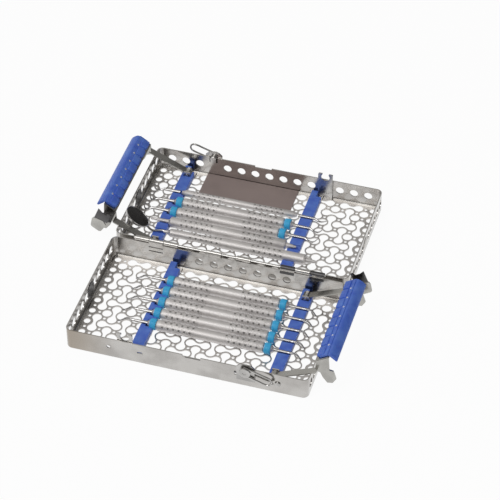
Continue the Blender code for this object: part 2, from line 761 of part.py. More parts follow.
def build_half(half, turn):
    """All that belongs to one tray; the lid is the same tray turned about the hinge line."""
    hinge = empty(f"{half}_hinge_axis", (0.0, 0.0, hinge_height), turn)
    tray = empty(f"{half}_tray", (0.0, -half_depth - hinge_side_gap, -hinge_height), parent=hinge)
    piece(f"{half}_floor_panel", panel_mesh, satin_steel, tray)
    piece(f"{half}_wall_frame", wall_frame(half), polished_steel, tray)
    for side, rail_x in rail_places.items():
        piece(f"{half}_{side}_rail_channel", channel_mesh[side], satin_steel, tray, (rail_x, 0.0, 0.0))
        strip = rail_strip(rail_x, contents[half], lugs=side == "right")
        piece(f"{half}_{side}_rail_strip", strip, blue_silicone, tray, (rail_x, 0.0, 0.0))
    piece(f"{half}_catch", catch_mesh, polished_steel, tray, (-latch_x, 0.0, 0.0))
    piece(f"{half}_latch_bracket", bracket_mesh, polished_steel, tray, (latch_x, 0.0, 0.0))
    latch = empty(f"{half}_latch_axis", (latch_x, 0.0, cam_height), parent=tray)
    piece(f"{half}_latch_cam", cam_mesh, polished_steel, latch)
    piece(f"{half}_latch_lever", lever_mesh, polished_steel, latch, tilt=(0.0, -lever_rest[half], 0.0))
    pivot = empty(f"{half}_bar_axis", (bar_axis[0], 0.0, bar_axis[1]), parent=tray)
    piece(f"{half}_bar_frame", frame_mesh, polished_steel, pivot)
    piece(f"{half}_bar_pad", pad_mesh, blue_silicone, pivot)
    for name, side in (("front", -1), ("rear", 1)):
        y = bar_pin_limits(side)
        pin = rod((0, y[0], 0), (0, y[1], 0), bar_pin_radius, turn=math.pi / sides)
        piece(f"{half}_bar_pin_{name}", pin, polished_steel, pivot)
    for number, (row, (kind, middle)) in enumerate(zip(instrument_rows(), contents[half]), start=1):
        build_instrument(kind, f"{half}_{kind}_{number}", tray, (middle, row, instrument_height))
    return tray


def build_instrument(kind, name, tray, place):
    """One instrument with its rings or its mirror, about the middle of its handle."""
    axis = empty(f"{name}_axis", place, parent=tray)
    piece(f"{name}_handle", handle_mesh[kind], handle_steel, axis)
    if kind == "scaler":
        for side, reach in (("left", -ring_place), ("right", ring_place)):
            piece(f"{name}_ring_{side}", ring_mesh, sky_silicone, axis, (reach, 0.0, 0.0))
    if kind == "mirror":
        facing = Vector(mirror_facing).normalized()
        back = Vector(mirror_centre) - facing * mirror_depth / 2
        tilt = facing.to_track_quat("X", "Z").to_euler()
        piece(f"{name}_head", mirror_head(), polished_steel, axis, back, tilt)
        piece(f"{name}_glass", mirror_disc(), mirror_black, axis, back, tilt)


base_tray = build_half("base", 0.0)
lid_tray = build_half("lid", math.pi)
piece("lid_cover_plate", cover_plate(), dark_plate, lid_tray)
pin_half = max(knuckle_places) * knuckle_pitch + knuckle_length / 2 + pin_overhang
hinge_line = rod((-pin_half, 0, 0), (pin_half, 0, 0), pin_radius, turn=math.pi / sides)
piece("hinge_pin", hinge_line, polished_steel, None, (0.0, 0.0, hinge_height))
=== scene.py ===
import math

import bmesh
import bpy
from mathutils import Matrix, Vector


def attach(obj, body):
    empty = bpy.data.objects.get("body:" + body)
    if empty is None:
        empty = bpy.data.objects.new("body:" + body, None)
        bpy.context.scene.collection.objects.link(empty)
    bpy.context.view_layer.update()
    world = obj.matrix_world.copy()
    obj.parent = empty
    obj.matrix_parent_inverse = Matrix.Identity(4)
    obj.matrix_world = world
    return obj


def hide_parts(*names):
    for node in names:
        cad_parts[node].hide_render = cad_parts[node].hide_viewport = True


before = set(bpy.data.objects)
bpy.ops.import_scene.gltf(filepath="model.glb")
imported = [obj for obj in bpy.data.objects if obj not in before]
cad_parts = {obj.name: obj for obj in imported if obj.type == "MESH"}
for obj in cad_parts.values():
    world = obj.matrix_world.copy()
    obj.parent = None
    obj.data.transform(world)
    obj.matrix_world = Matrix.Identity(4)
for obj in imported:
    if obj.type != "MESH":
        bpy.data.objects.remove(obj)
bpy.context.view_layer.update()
mm = 0.001
print("stage 1: the packed cassette is in")

# Both trays are one pressing: each piece is drawn in a tray's own place, in millimetres, and put in its half
tray = {"halfX": 101.6, "halfY": 58.42, "high": 20.3, "sheet": 0.9, "corner": 5.0, "fold": 1.4,
        "innerFold": 0.5, "border": 1.9, "sideGap": 2.0, "hinge": 21.5}
apart = (tray["halfY"] + tray["sideGap"]) * mm
halfPlace = {"base": Matrix.Translation((0, -apart, 0)),
             "lid": Matrix.Rotation(math.pi, 4, "Z") @ Matrix.Translation((0, -apart, 0))}


class Wire:  # one shader socket that takes part in sums

    def __init__(self, look, socket):
        self.look = look
        self.socket = socket

    def sum(self, operation, first, second):
        return self.look.add("ShaderNodeMath", {"operation": operation}, {0: first, 1: second})

    def __add__(self, other):
        return self.sum("ADD", self, other)

    def __radd__(self, other):
        return self.sum("ADD", other, self)

    def __sub__(self, other):
        return self.sum("SUBTRACT", self, other)

    def __rsub__(self, other):
        return self.sum("SUBTRACT", other, self)

    def __mul__(self, other):
        return self.sum("MULTIPLY", self, other)

    def __rmul__(self, other):
        return self.sum("MULTIPLY", other, self)

    def __pow__(self, other):
        return self.sum("POWER", self, other)

    def __abs__(self):
        return self.look.add("ShaderNodeMath", {"operation": "ABSOLUTE"}, {0: self})

    def below(self, other):
        return self.sum("LESS_THAN", self, other)

    def repeat(self, pitch):  # distance to the nearest multiple of the pitch
        return self.sum("PINGPONG", self, pitch / 2)

    def part(self, name):
        return Wire(self.look, self.socket.node.outputs[name])


class Look:  # a material and its Principled shader

    def __init__(self, name, color, roughness, metallic, **fixed):
        self.material = bpy.data.materials.new(name)
        self.material.use_nodes = True
        self.tree = self.material.node_tree
        self.shader = self.tree.nodes["Principled BSDF"]
        self.set("Base Color", color)
        for key, value in (("Roughness", roughness), ("Metallic", metallic), *fixed.items()):
            self.set(key, value)

    def feed(self, socket, value):
        if isinstance(value, Wire):
            self.tree.links.new(value.socket, socket)
        elif isinstance(value, tuple) and len(value) == 3 and socket.type == "RGBA":
            socket.default_value = (*value, 1.0)
        else:
            socket.default_value = value

    def set(self, key, value):
        self.feed(self.shader.inputs[key], value)

    def add(self, kind, settings=None, inputs=None, output=0):
        node = self.tree.nodes.new(kind)
        for key, value in (settings or {}).items():
            setattr(node, key, value)
        for key, value in (inputs or {}).items():
            self.feed(node.inputs[key], value)
        return Wire(self, node.outputs[output])

    def place(self):
        return self.add("ShaderNodeTexCoord", output="Object")

    def axes(self):
        split = self.add("ShaderNodeSeparateXYZ", None, {0: self.place()})
        return [split.part(axis) for axis in "XYZ"]

    def noise(self, scale, detail, along=(1.0, 1.0, 1.0)):
        stretched = self.add("ShaderNodeMapping", None, {"Vector": self.place(), "Scale": along})
        return self.add("ShaderNodeTexNoise", None, {"Vector": stretched, "Scale": scale, "Detail": detail})

    def ramp(self, value, stops):  # two stops, each a place and a grey or a colour
        shaded = self.add("ShaderNodeValToRGB", None, {"Fac": value})
        for stop, (place, shade) in zip(shaded.socket.node.color_ramp.elements, stops):
            stop.position = place
            stop.color = (shade, shade, shade, 1.0) if isinstance(shade, float) else (*shade, 1.0)
        return shaded

    def fade(self, value, start, end):  # 1 up to the start, then smoothly down to 0 at the end
        return self.add("ShaderNodeMapRange", {"interpolation_type": "SMOOTHSTEP"},
                        {"Value": value, "From Min": start, "From Max": end, "To Min": 1.0, "To Max": 0.0})

    def blend(self, factor, first, second):
        return self.add("ShaderNodeMix", {"data_type": "RGBA"}, {0: factor, 6: first, 7: second}, output=2)

    def bump(self, height, depth):
        self.set("Normal", self.add("ShaderNodeBump", None,
                                    {"Height": height, "Distance": depth * mm, "Strength": 1.0}))


brush = {"smears": 60.0, "lines": 900.0, "lineShare": 0.25, "stops": (0.3, 0.62)}
# each steel: its colour, its darker colour, its range of roughness, the depth of its lines and their stretch
steelLooks = {
    "floorSteel": ((0.70, 0.68, 0.66), (0.55, 0.53, 0.51), (0.34, 0.48), 0.004, (1.0, 0.05, 1.0)),
    "wallSteel": ((0.56, 0.545, 0.525), (0.42, 0.405, 0.388), (0.13, 0.27), 0.002, (0.05, 1.0, 1.0)),
    "barSteel": ((0.50, 0.492, 0.465), (0.34, 0.332, 0.315), (0.18, 0.34), 0.003, (1.0, 0.08, 1.0)),
    "latchSteel": ((0.56, 0.55, 0.535), (0.36, 0.352, 0.342), (0.14, 0.30), 0.002, (1.0, 1.0, 1.0)),
    # the dark steel colours the hinge sleeves, and it is painted shade on the hinge leaves, the front wall's
    # dark strips, the wall dishes and the bars' end plates
    "darkSteelAndShade": ((0.13, 0.127, 0.128), (0.075, 0.073, 0.075), (0.28, 0.42), 0.003, (1.0, 1.0, 0.2)),
    "brightSteel": ((0.95, 0.95, 0.95), (0.85, 0.85, 0.85), (0.3, 0.45), 0.001, (1.0, 1.0, 1.0)),
    "tipSteel": ((0.56, 0.55, 0.545), (0.38, 0.37, 0.365), (0.12, 0.24), 0.001, (1.0, 0.2, 0.2)),
}
# the base's front wall darkens to brown towards its left end
duller = {"from": -100.0, "to": -55.0, "front": -57.0, "color": (0.66, 0.60, 0.53)}


def browned(look, shade, color):
    x, y = look.axes()[:2]
    reach = look.fade(x, duller["from"] * mm, duller["to"] * mm)
    leftEndTone = tuple(own * share for own, share in zip(color, duller["color"]))
    return look.blend(reach * y.below(duller["front"] * mm), shade, leftEndTone)


def steel(name, color, dark, rough, grain, along, tint=None):
    # stainless steel with faint smears and fine grinding lines
    look = Look(name, color, rough[0], 1.0)
    smear = look.noise(brush["smears"], 3.0)
    lines = look.noise(brush["lines"], 2.0, along)
    smeared = look.ramp(smear, zip(brush["stops"], (dark, color)))
    shade = look.blend(lines * brush["lineShare"], smeared, dark)
    look.set("Base Color", tint(look, shade, color) if tint else shade)
    look.set("Roughness", rough[0] + smear * (rough[1] - rough[0]))
    look.bump(lines, grain)
    return look.material


def silicone(name, color, light):
    # moulded silicone: even colour, faintly chalky where it has been rubbed
    look = Look(name, color, 0.5, 0.0, **{"Coat Weight": 0.12, "Coat Roughness": 0.35,
                                          "Subsurface Weight": 0.05, "Subsurface Scale": 0.002})
    rubbed = look.noise(140.0, 4.0)
    skin = look.noise(1800.0, 2.0)
    look.set("Base Color", look.blend(look.ramp(rubbed, [(0.35, 0.0), (0.75, 0.8)]), color, light))
    look.set("Roughness", 0.42 + rubbed * 0.2)
    look.bump(skin, 0.006)
    return look.material


knurl = {"pitch": 4.7, "rowStep": math.radians(60), "ends": (13.0, 41.5), "radius": 1.0, "depth": 0.14,
         "soft": (0.5, 1.15), "grip": 4.75, "rowsAhead": 64.0, "pitchesAhead": 100}
# handle colours; cut and dimple are painted shade in the knurl's cuts and dimples
satin = {"color": (0.74, 0.715, 0.705), "worn": (0.65, 0.625, 0.615), "bright": (0.77, 0.745, 0.735),
         "cut": (0.33, 0.315, 0.31), "dimple": (0.10, 0.094, 0.09)}


def handleFinish():
    # satin handle steel with rows of dimples near both ends of the grip, each dimple and the knurl's fine
    # cuts painted darker as painted shade;
    # the places are moved ahead by whole rows and pitches, so that what repeats never starts below zero
    look = Look("handleSteel", satin["color"], 0.5, 0.9)
    x, y, z = (place * 1000.0 for place in look.axes())
    start, end = knurl["ends"]
    inBand = abs(abs(x) - (start + end) / 2).below((end - start) / 2)
    row = y.sum("ARCTAN2", y, z) * (1.0 / knurl["rowStep"]) + knurl["rowsAhead"]
    shifted = x + row.repeat(2.0) * (knurl["pitch"] / 2) + knurl["pitchesAhead"] * knurl["pitch"]
    along = shifted.repeat(knurl["pitch"])
    across = row.repeat(1.0) * (knurl["rowStep"] * knurl["grip"])
    far = (along * along + across * across) ** 0.5
    near, clear = knurl["soft"]
    dimple = look.fade(far, knurl["radius"] * near, knurl["radius"] * clear) * inBand
    lines = look.noise(1400.0, 2.0, (1.0, 0.12, 0.12))
    smear = look.noise(90.0, 3.0)
    worn = look.ramp(smear, [(0.3, satin["worn"]), (0.66, satin["bright"])])
    cuts = look.add("ShaderNodeTexVoronoi", None, {"Vector": look.place(), "Scale": 900.0})
    mottle = look.ramp(cuts, [(0.25, 1.0), (0.55, 0.0)]) * inBand
    # painted shade: darker in the knurl's cuts and in each dimple
    shade = look.blend(mottle * 0.4, worn, satin["cut"])
    look.set("Base Color", look.blend(dimple * 0.75, shade, satin["dimple"]))
    look.set("Roughness", 0.46 + smear * 0.14 + dimple * 0.2)
    look.bump(lines * 0.03 - dimple - mottle * 0.25, knurl["depth"])
    return look.material


def coverFinish():
    # brown-grey plate with a dull sheen, faint clouds and fine lines along X
    look = Look("coverPlate", (0.34, 0.272, 0.257), 0.5, 0.35)
    cloud = look.noise(16.0, 3.0, (1.0, 2.2, 1.0))
    lines = look.noise(700.0, 2.0, (0.03, 1.0, 1.0))
    look.set("Base Color", look.ramp(cloud, [(0.3, (0.315, 0.252, 0.238)), (0.7, (0.365, 0.292, 0.276))]))
    look.set("Roughness", 0.46 + lines * 0.1)
    look.bump(lines, 0.001)
    return look.material


def mirrorFinish():
    # the mirror shows a dark surrounding, so its face is near black with a weak gloss and faint dust
    look = Look("mirrorFace", (0.022, 0.020, 0.021), 0.12, 0.0, **{"Specular IOR Level": 0.3})
    dust = look.noise(500.0, 4.0)
    look.set("Base Color", look.ramp(dust, [(0.3, (0.016, 0.015, 0.015)), (0.8, (0.036, 0.034, 0.034))]))
    look.set("Roughness", 0.1 + dust * 0.12)
    return look.material


finish = {name: steel(name, *values) for name, values in steelLooks.items()}
finish["baseWallSteel"] = steel("baseWallSteel", *steelLooks["wallSteel"], browned)
finish["royalSilicone"] = silicone("royalSilicone", (0.055, 0.135, 0.60), (0.13, 0.26, 0.72))
finish["skySilicone"] = silicone("skySilicone", (0.025, 0.41, 0.78), (0.09, 0.55, 0.87))
finish["handleSteel"] = handleFinish()
finish["coverPlate"] = coverFinish()
finish["mirrorFace"] = mirrorFinish()
print("stage 2: finishes are ready")


def clean(bm, name):
    bmesh.ops.recalc_face_normals(bm, faces=bm.faces)
    mesh = bpy.data.meshes.new(name)
    bm.to_mesh(mesh)
    bm.free()
    return mesh


def opened(mesh):
    bm = bmesh.new()
    bm.from_mesh(mesh)
    return bm


def evaluated(thing):
    bpy.context.scene.collection.objects.link(thing)
    graph = bpy.context.evaluated_depsgraph_get()
    mesh = bpy.data.meshes.new_from_object(thing.evaluated_get(graph))
    bpy.data.objects.remove(thing, do_unlink=True)
    return mesh


def boolean(mesh, cutter, operation="DIFFERENCE"):
    body = bpy.data.objects.new("body", mesh)
    other = bpy.data.objects.new("other", cutter)
    bpy.context.scene.collection.objects.link(other)
    step = body.modifiers.new("step", "BOOLEAN")
    step.operation = operation
    step.object = other
    result = evaluated(body)
    bpy.data.objects.remove(other, do_unlink=True)
    return result


def moved(mesh, matrix):
    copy = mesh.copy()
    copy.transform(matrix)
    return copy


def together(meshes):
    bm = bmesh.new()
    for mesh in meshes:
        bm.from_mesh(mesh)
    return clean(bm, "together")


def sheetShape(outlines, thick, name):
    # flat plate from outlines in millimetres; the first is its edge and the others its holes
    curve = bpy.data.curves.new(name, "CURVE")
    curve.dimensions = "2D"
    curve.fill_mode = "BOTH"
    curve.extrude = thick / 2 * mm
    for points in outlines:
        spline = curve.splines.new("POLY")
        spline.points.add(len(points) - 1)
        for point, (x, y) in zip(spline.points, points):
            point.co = (x * mm, y * mm, 0.0, 1.0)
        spline.use_cyclic_u = True
    mesh = evaluated(bpy.data.objects.new(name, curve))
    mesh.transform(Matrix.Translation((0, 0, thick / 2 * mm)))
    bm = opened(mesh)
    bmesh.ops.remove_doubles(bm, verts=bm.verts, dist=0.001 * mm)
    return clean(bm, name)


def rounded(bm, edges, width, segments):
    bmesh.ops.bevel(bm, geom=edges, offset=width * mm, segments=segments, profile=0.5, affect="EDGES")


def softened(mesh, width):  # rounds every sharp edge of a plate
    bm = opened(mesh)
    sharp = [e for e in bm.edges if len(e.link_faces) == 2 and e.calc_face_angle() > 0.6]
    bmesh.ops.bevel(bm, geom=sharp, offset=width * mm, segments=2, profile=0.5, affect="EDGES",
                    clamp_overlap=True)
    return clean(bm, "softened")


def upright(mesh, y):  # turns a plate drawn in X and Z to stand at a place along Y
    return moved(mesh, Matrix.Translation((0, y * mm, 0)) @ Matrix.Rotation(math.radians(90), 4, "X"))


def circle(x, y, radius, count):
    return [(x + radius * math.cos(math.tau * n / count), y + radius * math.sin(math.tau * n / count))
            for n in range(count)]


def bar(start, end, radius):
    start, end = Vector(start) * mm, Vector(end) * mm
    along = end - start
    bm = bmesh.new()
    face = Matrix.Translation(start + along / 2) @ along.to_track_quat("Z", "Y").to_matrix().to_4x4()
    bmesh.ops.create_cone(bm, cap_ends=True, segments=24, radius1=radius * mm, radius2=radius * mm,
                          depth=along.length, matrix=face)
    return clean(bm, "bar")


def turned(profile, count, closed=False):
    # solid turned about the X axis from (place along it, radius) points in millimetres
    bm = bmesh.new()
    rings = []
    for along, radius in profile:
        if radius < 1e-6:
            rings.append([bm.verts.new((along * mm, 0, 0))])
        else:
            rings.append([bm.verts.new((along * mm, radius * mm * math.cos(math.tau * n / count),
                                        radius * mm * math.sin(math.tau * n / count))) for n in range(count)])
    pairs = list(zip(rings, rings[1:])) + ([(rings[-1], rings[0])] if closed else [])
    for first, second in pairs:
        for n in range(count if len(first) + len(second) > 2 else 0):
            corners = [ring[m % len(ring)] for ring, m in ((first, n), (first, n + 1), (second, n + 1),
                                                           (second, n))]
            bm.faces.new(list(dict.fromkeys(corners)))
    return clean(bm, "turned")


def bothEnds(profile):  # the same profile at the other end too
    return [(-x, radius) for x, radius in reversed(profile)] + profile


def tube(points, radii):
    # tapering round wire through points in millimetres, on a smooth curve
    curve = bpy.data.curves.new("tube", "CURVE")
    curve.dimensions = "3D"
    curve.bevel_depth = mm
    curve.bevel_resolution = 3
    curve.resolution_u = 6
    curve.use_fill_caps = True
    spline = curve.splines.new("BEZIER")
    spline.bezier_points.add(len(points) - 1)
    for point, place, radius in zip(spline.bezier_points, points, radii):
        point.co = Vector(place) * mm
        point.radius = radius
        point.handle_left_type = point.handle_right_type = "AUTO"
    return evaluated(bpy.data.objects.new("tube", curve))


def block(x, y, z):
    bm = bmesh.new()
    size = Matrix.Diagonal(((x[1] - x[0]) * mm, (y[1] - y[0]) * mm, (z[1] - z[0]) * mm, 1.0))
    middle = Matrix.Translation([(low + high) / 2 * mm for low, high in (x, y, z)])
    bmesh.ops.create_cube(bm, size=1.0, matrix=middle @ size)
    return clean(bm, "block")


def softBlock(x, y, z, radius):  # block with all its edges rounded
    bm = opened(block(x, y, z))
    rounded(bm, bm.edges[:], radius, 3)
    return clean(bm, "softBlock")


def pan(halfX, halfY, low, high, corner, fold):
    # block with rounded standing edges and a rounded foot
    bm = opened(block((-halfX, halfX), (-halfY, halfY), (low, high)))
    rounded(bm, [e for e in bm.edges if abs(e.verts[0].co.z - e.verts[1].co.z) > mm], corner, 8)
    rounded(bm, [e for e in bm.edges if max(v.co.z for v in e.verts) < (low + fold / 10) * mm], fold, 4)
    return clean(bm, "pan")


def shift(x, y, z):
    return Matrix.Translation((x * mm, y * mm, z * mm))


def piece(name, mesh, look, half, body, stands=(), place=None, angle=32):
    mesh = mesh.copy()
    mesh.name = name
    mesh.materials.clear()
    mesh.materials.append(finish[look])
    mesh.shade_smooth()
    mesh.set_sharp_from_angle(angle=math.radians(angle))
    thing = bpy.data.objects.new(name, mesh)
    bpy.context.scene.collection.objects.link(thing)
    thing.matrix_world = halfPlace[half] @ (place or Matrix.Identity(4))
    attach(thing, body)
    if stands:
        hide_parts(*stands)


# turns what points along X to point out of the front wall
outward = Matrix.Rotation(math.radians(-90), 4, "Z")

# Perforated floor: rounds on every second point of a square grid, most of them joined in pairs,
# and small drilled holes between them
floor = {"grid": 6.35, "columns": 31, "rows": 17, "hole": 3.95, "edgeHole": 2.8, "small": 1.3, "neck": 1.3,
         "count": 20, "smallCount": 10, "endSteps": 14, "neckSteps": 6}


def gridPlace(column, row):
    return [(n - (floor[size] + 1) / 2) * floor["grid"] for n, size in ((column, "columns"), (row, "rows"))]


def dumbbell():
    # outline of two rounds with a waisted neck, about the middle of the neck, along +X
    reach, radius, neck = floor["grid"], floor["hole"], floor["neck"]
    blend = (reach ** 2 + neck ** 2 - radius ** 2) / (2 * (radius - neck))
    waist = neck + blend  # centre of the round that shapes each side of the neck
    start = math.atan2(waist, -reach)
    outline = []
    for n in range(floor["endSteps"] + 1):
        angle = start - 2 * start * n / floor["endSteps"]
        outline.append((reach + radius * math.cos(angle), radius * math.sin(angle)))
    sweep = math.atan2(reach, waist)
    for n in range(1, floor["neckSteps"]):
        angle = -math.pi / 2 + sweep - 2 * sweep * n / floor["neckSteps"]
        outline.append((blend * math.cos(angle), -(waist + blend * math.sin(angle))))
    return outline + [(-x, -y) for x, y in outline]


def floorOutlines():
    # a pair's neck stands on an even column and an odd row; a small hole stands on each odd column and
    # even row, and where a pair would run out of the panel
    pair = dumbbell()
    joined, small, outlines = set(), [], []
    for column in range(1, floor["columns"] + 1):
        for row in range(1, floor["rows"] + 1):
            if column % 2 and not row % 2:
                small.append((column, row))
                continue
            if column % 2 or not row % 2:
                continue
            across = (column // 2 + (row - 1) // 2) % 2 == 0
            stepX, stepY = (1, 0) if across else (0, 1)
            ends = [(column - stepX, row - stepY), (column + stepX, row + stepY)]
            if any(c in (1, floor["columns"]) or not 1 <= r <= floor["rows"] for c, r in ends):
                small.append((column, row))
                continue
            joined.update(ends)
            x, y = gridPlace(column, row)
            outlines.append([(x + u, y + v) if across else (x - v, y + u) for u, v in pair])
    for column in range(1, floor["columns"] + 1):
        for row in range(1, floor["rows"] + 1):
            if (column + row) % 2 or (column, row) in joined:
                continue
            radius = floor["edgeHole"] if column in (1, floor["columns"]) else floor["hole"]
            outlines.append(circle(*gridPlace(column, row), radius, floor["count"]))
    outlines += [circle(*gridPlace(*spot), floor["small"], floor["smallCount"]) for spot in small]
    return outlines


panelX = tray["halfX"] - tray["sheet"] - tray["border"]
panelY = tray["halfY"] - tray["sheet"] - tray["border"]
panelEdge = [(-panelX, -panelY), (panelX, -panelY), (panelX, panelY), (-panelX, panelY)]
panelMesh = sheetShape([panelEdge, *floorOutlines()], tray["sheet"], "perforatedFloor")
for half in ("base", "lid"):
    piece(f"{half}_perforated_floor", panelMesh, "floorSteel", half, half, [f"{half}_floor_panel"])
print("stage 3: perforated floors")

# Walls: one pressing with folded lower edges, pierced sides and hinge knuckles
wall = {"hole": 3.6, "sideHole": 4.0, "holeHigh": 11.0, "pitch": 12.7, "sidePitch": 9.9,
        "hingeHoles": range(-2, 5), "frontHoles": range(-7, 8), "sideHoles": [n for n in range(-5, 6) if n],
        "notch": (5.5, 7.5, 1.5), "rivetHole": (-64.2, 12.0, 2.2), "railEnd": (-37.8, 11.7),
        "leverSlot": (43.4, 11.7), "slot": (5.0, 1.8), "slotRound": 0.3, "vents": (12.5, 16.8),
        "ventX": -63.5, "vent": (12.5, 1.2), "latchX": 50.8, "latchClear": 4.0, "camHigh": 18.9,
        "camRound": 3.5, "gap": 0.3, "past": 1, "into": 2}
# the knuckle's leaf sizes place a thin dark sheet of painted shade inside the base's hinge wall
knuckle = {"radius": 1.75, "long": 12.3, "pitch": 12.7, "places": (-5, -1, 4, 6), "pin": 0.8, "drop": 2.4,
           "sunk": 0.8, "over": 0.5, "dark": (4, 6), "short": 0.1, "sleeve": 2.25, "leaf": (17.3, 20.2),
           "shadeLeafDeep": (-0.35, 0.05)}


def slot(place, size, walls):
    return softBlock((place[0] - size[0] / 2, place[0] + size[0] / 2), walls,
                     (place[1] - size[1] / 2, place[1] + size[1] / 2), size[1] * wall["slotRound"])


def hole(place, height, radius, walls):
    return bar((place, walls[0], height), (place, walls[1], height), radius)


def knuckleEnds(place, reach):
    return place * knuckle["pitch"] - reach, place * knuckle["pitch"] + reach


def wallMesh(half):
    x, y, high, thin = tray["halfX"], tray["halfY"], tray["high"], tray["sheet"]
    past, into = wall["past"], wall["into"]  # how far the cutters run out of a wall and into the tray
    back, front = (y - into, y + past), (-y - past, -y + into)
    shell = pan(x, y, 0.0, high, tray["corner"], tray["fold"])
    inside = pan(x - thin, y - thin, thin, high + past, tray["corner"] - thin, tray["innerFold"])
    shell = boolean(shell, inside)
    shell = boolean(shell, block((-panelX, panelX), (-panelY, panelY), (-past, into)))
    cutters = [hole(n * wall["pitch"], wall["holeHigh"], wall["hole"], back) for n in wall["hingeHoles"]]
    cutters += [slot((wall["ventX"], z), wall["vent"], back) for z in wall["vents"]]
    for n in wall["sideHoles"]:
        y0, z0 = n * wall["sidePitch"], wall["holeHigh"]
        for side in (-1, 1):
            cutters.append(bar((side * (x - into), y0, z0), (side * (x + past), y0, z0), wall["sideHole"]))
    if half == "base":
        cutters.append(hole(*wall["rivetHole"], front))
        cutters += [slot(wall[name], wall["slot"], front) for name in ("railEnd", "leverSlot")]
    else:
        cutters += [hole(n * wall["pitch"], wall["holeHigh"], wall["hole"], front) for n in wall["frontHoles"]
                    if abs(n * wall["pitch"] - wall["latchX"]) > wall["latchClear"]]
    middle, wide, deep = wall["notch"]
    cutters.append(block((middle - wide, middle + wide), front, (high - deep, high + past)))
    room = wall["camRound"] + wall["gap"]
    cutters.append(block((wall["latchX"] - room, wall["latchX"] + room), front,
                         (wall["camHigh"] - room, high + past)))
    shell = boolean(shell, together(cutters))
    barrels, bores = [], []
    line = y + tray["sideGap"]
    for place in knuckle["places"]:
        start, end = knuckleEnds(place, knuckle["long"] / 2)
        leaf = block((start, end), (y - thin * knuckle["sunk"], line - knuckle["pin"]),
                     (tray["hinge"] - knuckle["drop"], tray["hinge"] + knuckle["over"]))
        barrel = bar((start, line, tray["hinge"]), (end, line, tray["hinge"]), knuckle["radius"])
        barrels.append(boolean(barrel, leaf, "UNION"))
        bores.append(bar((start - past, line, tray["hinge"]), (end + past, line, tray["hinge"]),
                         knuckle["pin"] + wall["gap"]))
    shell = boolean(shell, together(barrels), "UNION")
    return boolean(shell, together(bores))


# riveted boss in the middle of each side wall: a low dome outside and a dished disc inside, coloured dark as
# painted shade in its hollow
boss = {"dome": [(-0.1, 0.0), (-0.1, 5.0), (0.2, 5.0), (0.8, 4.0), (1.15, 2.4), (1.2, 0.0)],
        "dish": [(0.05, 0.0), (0.05, 7.2), (-0.35, 7.2), (-0.45, 6.6), (-0.2, 4.6), (-0.15, 0.0)]}
dome = turned(boss["dome"], 32)
dish = turned([(x - tray["sheet"], radius) for x, radius in boss["dish"]], 36)
for half, wallLook in (("base", "baseWallSteel"), ("lid", "wallSteel")):
    piece(f"{half}_pierced_walls", wallMesh(half), wallLook, half, half, [f"{half}_wall_frame"])
    for name, side in (("left", -1), ("right", 1)):
        turn = shift(side * tray["halfX"], 0, wall["holeHigh"])
        if side < 0:
            turn = turn @ Matrix.Rotation(math.pi, 4, "Z")
        piece(f"{half}_{name}_wall_boss", dome, "wallSteel", half, half, place=turn)
        piece(f"{half}_{name}_wall_shaded_dish", dish, "darkSteelAndShade", half, half, place=turn)

# dark sleeve on two of the base's knuckles, each with a thin dark leaf inside the wall: the leaf is painted
# shade below the knuckle
reach = knuckle["long"] / 2 - knuckle["short"]
sleeve = turned(bothEnds([(reach - 0.3, knuckle["sleeve"]), (reach, knuckle["sleeve"] - 0.2),
                          (reach, knuckle["radius"] - 0.1)]), 32, True)
inner = tray["halfY"] - tray["sheet"]
for place in knuckle["dark"]:
    spot = Matrix.Translation((place * knuckle["pitch"] * mm, apart, tray["hinge"] * mm))
    piece(f"base_hinge_sleeve_{place}", sleeve, "darkSteelAndShade", "base", "base", place=spot)
    leaf = block(knuckleEnds(place, reach), [inner + y for y in knuckle["shadeLeafDeep"]], knuckle["leaf"])
    piece(f"base_hinge_shade_leaf_{place}", leaf, "darkSteelAndShade", "base", "base")

# thin dark strips on the base's front wall, painted shade: the shaded line under the notch, and a shaded slot
# beside the latch
shadeStrips = {"notch_shade_line": ((0.0, 13.0), (18.05, 18.65)), "latch_slot_shade": ((40.9, 44.9), (13.0, 15.0))}
proud, sunk = 0.12, 0.2
for name, (across, standing) in shadeStrips.items():
    shadeStrip = block(across, (-tray["halfY"] - proud, -tray["halfY"] + sunk), standing)
    piece(f"base_front_{name}", shadeStrip, "darkSteelAndShade", "base", "base")
stud = {"x": 76.9, "high": 10.4,
        "profile": [(0, 2.6), (0.5, 2.6), (1.0, 2.1), (1.2, 1.2), (1.2, 0.0), (0, 0)]}
piece("base_front_stud_right", turned(stud["profile"], 28), "latchSteel", "base", "base",
      place=shift(stud["x"], -tray["halfY"], stud["high"]) @ outward)
print("stage 4: walls and hinge")

# Instruments: their handles are round here, with fine necks and bent working ends
tool = {"high": 7.4, "pitch": 13.0, "middle": 6.0, "grip": 4.75, "seat": 3.5, "slim": 3.1, "ring": 48.5,
        "ringWide": 5.4, "ringRound": 4.75, "neck": 68.5, "neckThin": 1.15, "shoulder": 1.7, "tip": 0.4,
        "tipFit": 0.95}
contents = {"base": [("scaler", 9.0), ("scaler", 8.5), ("scaler", 8.0), ("scaler", 7.5), ("scaler", 7.0)],
            "lid": [("explorer", 16.0), ("scaler", 17.0), ("scaler", 18.0), ("probe", 14.3), ("mirror", 2.2)]}
bends = {"scaler": ([(3.0, 1.2, -1.0), (6.5, -0.5, -2.6), (8.5, -3.5, -1.2)],
                    [(3.5, 1.5, -1.0), (7.0, 0.0, -2.5), (10.0, -3.5, -1.5)]),
         "explorer": ([(4.0, 1.0, -1.0), (8.5, -1.5, -2.0), (9.5, -5.0, -1.0)],
                      [(4.0, 1.2, -1.0), (10.0, -2.5, -2.0)])}
mirror = {"middle": (88.6, 0.0, 10.2), "faces": (-0.555, -0.247, 0.794), "radius": 11.5, "deep": 2.6,
          "lip": 0.9}


